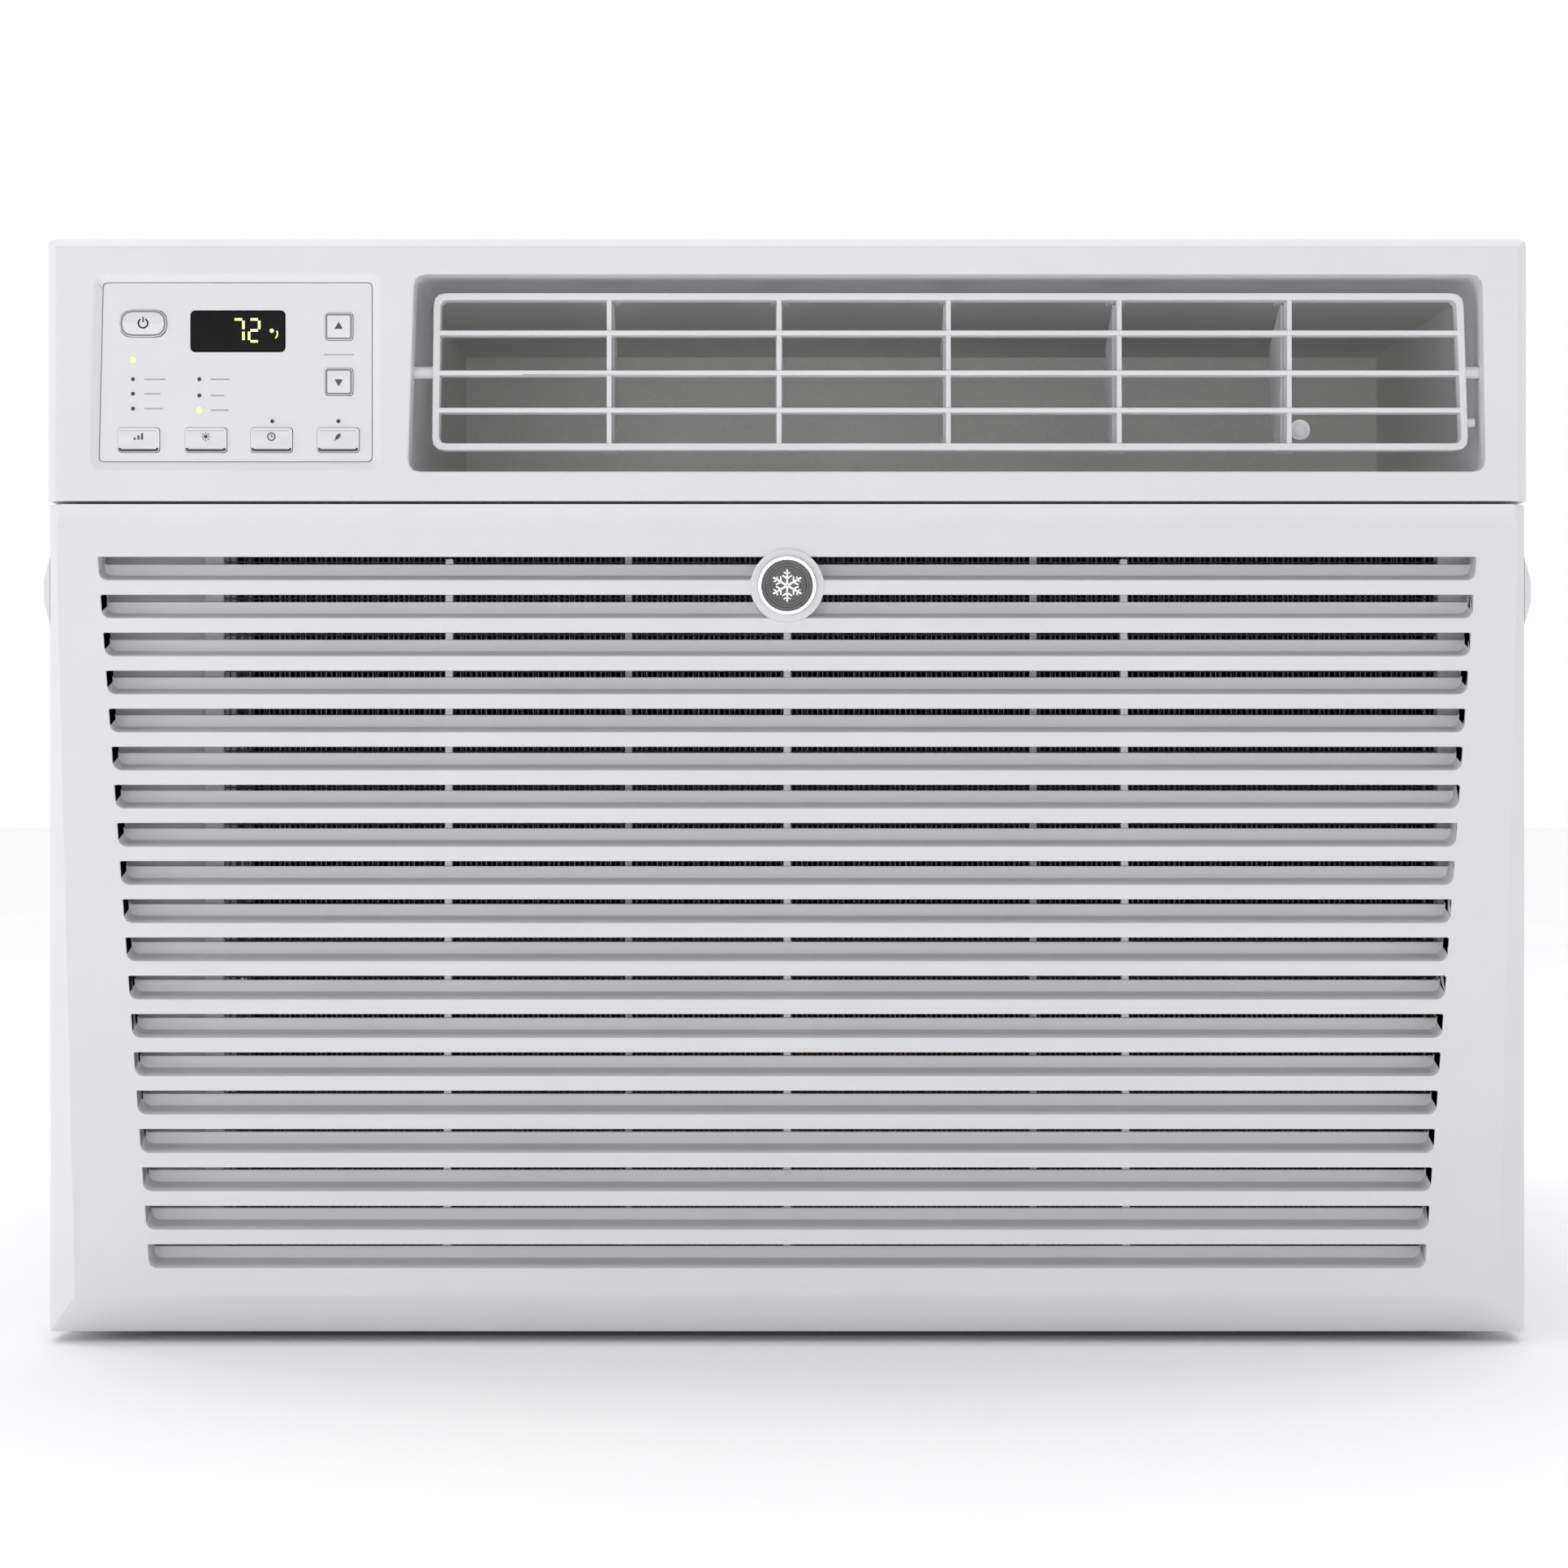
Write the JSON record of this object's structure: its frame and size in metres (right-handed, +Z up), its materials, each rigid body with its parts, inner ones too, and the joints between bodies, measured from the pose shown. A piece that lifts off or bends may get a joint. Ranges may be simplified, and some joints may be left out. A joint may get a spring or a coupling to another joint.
{
  "type": "window air conditioner",
  "caption": "Boxy window air conditioner: hinged slotted inlet grille with slide-out filter, tilting louver with swinging vanes, key panel with display, steel cabinet behind.",
  "frame": {"origin": "centre of the bounding box on its underside, which is the underside of the base pan", "axes": "+X to the right seen from the room, +Y from the room towards outdoors, +Z up; the room-side front faces -Y"},
  "size_m": [0.606, 0.62, 0.448],
  "materials": {
    "white_plastic": "satin",
    "shaded_plastic": "satin",
    "key_plastic": "satin",
    "filter_net": "woven",
    "display_pane": "gloss",
    "lamp_guide": "clear satin",
    "badge_black": "gloss",
    "badge_chrome": "polished",
    "painted_steel": "satin paint",
    "zinc_steel": "galvanised",
    "bright_steel": "turned",
    "motor_shell": "satin paint",
    "compressor_shell": "satin paint",
    "aluminium_fins": "finned",
    "aluminium_can": "drawn",
    "copper_tube": "drawn",
    "foam_white": "moulded foam",
    "fan_plastic": "satin",
    "circuit_board": "satin",
    "black_rubber": "matte",
    "black_plastic": "matte"
  },
  "bodies": {
    "chassis": {"front_bezel": "white_plastic", "control_fascia": "white_plastic", "blower_inlet_ring": "shaded_plastic", "display_window": "display_pane", "indicator_light_guide": "lamp_guide", "cabinet_wrap": "painted_steel", "rear_guard": "painted_steel", "base_pan": "zinc_steel", "control_box": "zinc_steel", "bulkhead": "zinc_steel", "fan_shroud": "zinc_steel", "motor_bracket": "zinc_steel", "grille_hinge_pin_left": "bright_steel", "grille_hinge_pin_right": "bright_steel", "fan_motor": "motor_shell", "compressor": "compressor_shell", "evaporator_coil": "aluminium_fins", "condenser_coil": "aluminium_fins", "run_capacitor": "aluminium_can", "evaporator_return_bends": "copper_tube", "condenser_return_bends": "copper_tube", "suction_accumulator": "copper_tube", "suction_line": "copper_tube", "discharge_line": "copper_tube", "capillary_tube": "copper_tube", "discharge_duct": "foam_white", "blower_scroll": "foam_white", "control_board": "circuit_board", "compressor_grommet_1": "black_rubber", "compressor_grommet_2": "black_rubber", "compressor_grommet_3": "black_rubber", "drain_plug": "black_rubber", "cord_gland": "black_rubber", "compressor_terminal_cover": "black_plastic"},
    "inlet_grille": {"inlet_grille": "white_plastic", "finger_tab_left": "white_plastic", "finger_tab_right": "white_plastic", "badge_ring": "badge_chrome", "badge_disc": "badge_black"},
    "air_filter": {"filter_frame": "shaded_plastic", "filter_mesh": "filter_net"},
    "louver": {"louver_frame": "white_plastic"},
    "vane_1": {"air_vane_1": "shaded_plastic"},
    "vane_2": {"air_vane_2": "shaded_plastic"},
    "vane_3": {"air_vane_3": "shaded_plastic"},
    "vane_4": {"air_vane_4": "shaded_plastic"},
    "vane_5": {"air_vane_5": "shaded_plastic", "vane_knob": "shaded_plastic"},
    "vane_link": {"vane_link": "shaded_plastic"},
    "fan_rotor": {"motor_shaft": "bright_steel", "blower_wheel": "fan_plastic", "condenser_fan": "fan_plastic"},
    "power_key": {"power_key": "key_plastic"},
    "temp_up_key": {"temp_up_key": "key_plastic"},
    "temp_down_key": {"temp_down_key": "key_plastic"},
    "fan_speed_key": {"fan_speed_key": "key_plastic"},
    "mode_key": {"mode_key": "key_plastic"},
    "timer_key": {"timer_key": "key_plastic"},
    "energy_saver_key": {"energy_saver_key": "key_plastic"}
  },
  "joints": [
    {"name": "grille_hinge", "type": "hinge", "parent": "chassis", "child": "inlet_grille", "pos_m": [0, -0.283, 0.012], "axis": [1, 0, 0], "range_deg": [0, 40]},
    {"name": "filter_slide", "type": "slide", "parent": "inlet_grille", "child": "air_filter", "axis": [1, 0, 0], "range_m": [0, 0.54]},
    {"name": "louver_tilt", "type": "hinge", "parent": "chassis", "child": "louver", "pos_m": [0.066, -0.292, 0.3948], "axis": [1, 0, 0], "range_deg": [-20, 20]},
    {"name": "vane_5_swing", "type": "hinge", "parent": "louver", "child": "vane_5", "pos_m": [0.2047, -0.28, 0.3948], "axis": [0, 0, 1], "range_deg": [-30, 30]},
    {"name": "vane_1_swing", "type": "hinge", "parent": "louver", "child": "vane_1", "pos_m": [-0.0726, -0.28, 0.3948], "axis": [0, 0, 1], "range_deg": [-30, 30]},
    {"name": "vane_2_swing", "type": "hinge", "parent": "louver", "child": "vane_2", "pos_m": [-0.0033, -0.28, 0.3948], "axis": [0, 0, 1], "range_deg": [-30, 30]},
    {"name": "vane_3_swing", "type": "hinge", "parent": "louver", "child": "vane_3", "pos_m": [0.0657, -0.28, 0.3948], "axis": [0, 0, 1], "range_deg": [-30, 30]},
    {"name": "vane_4_swing", "type": "hinge", "parent": "louver", "child": "vane_4", "pos_m": [0.1354, -0.28, 0.3948], "axis": [0, 0, 1], "range_deg": [-30, 30]},
    {"name": "vane_link_swing", "type": "hinge", "parent": "vane_5", "child": "vane_link", "pos_m": [0.2047, -0.259, 0.3675], "axis": [0, 0, 1], "range_deg": [-30, 30]},
    {"name": "power_key_press", "type": "slide", "parent": "chassis", "child": "power_key", "axis": [0, 1, 0], "range_m": [0, 0.001], "stiffness_N_per_m": 600},
    {"name": "temp_up_key_press", "type": "slide", "parent": "chassis", "child": "temp_up_key", "axis": [0, 1, 0], "range_m": [0, 0.001], "stiffness_N_per_m": 600},
    {"name": "temp_down_key_press", "type": "slide", "parent": "chassis", "child": "temp_down_key", "axis": [0, 1, 0], "range_m": [0, 0.001], "stiffness_N_per_m": 600},
    {"name": "fan_speed_key_press", "type": "slide", "parent": "chassis", "child": "fan_speed_key", "axis": [0, 1, 0], "range_m": [0, 0.001], "stiffness_N_per_m": 600},
    {"name": "mode_key_press", "type": "slide", "parent": "chassis", "child": "mode_key", "axis": [0, 1, 0], "range_m": [0, 0.001], "stiffness_N_per_m": 600},
    {"name": "timer_key_press", "type": "slide", "parent": "chassis", "child": "timer_key", "axis": [0, 1, 0], "range_m": [0, 0.001], "stiffness_N_per_m": 600},
    {"name": "energy_saver_key_press", "type": "slide", "parent": "chassis", "child": "energy_saver_key", "axis": [0, 1, 0], "range_m": [0, 0.001], "stiffness_N_per_m": 600},
    {"name": "fan_spin", "type": "hinge", "parent": "chassis", "child": "fan_rotor", "pos_m": [0.095, 0.0325, 0.205], "axis": [0, 1, 0], "continuous": true}
  ],
  "couplings": [
    {"joint": "vane_1_swing", "follows": "vane_5_swing", "ratio": 1},
    {"joint": "vane_2_swing", "follows": "vane_5_swing", "ratio": 1},
    {"joint": "vane_3_swing", "follows": "vane_5_swing", "ratio": 1},
    {"joint": "vane_4_swing", "follows": "vane_5_swing", "ratio": 1},
    {"joint": "vane_link_swing", "follows": "vane_5_swing", "ratio": -1}
  ]
}
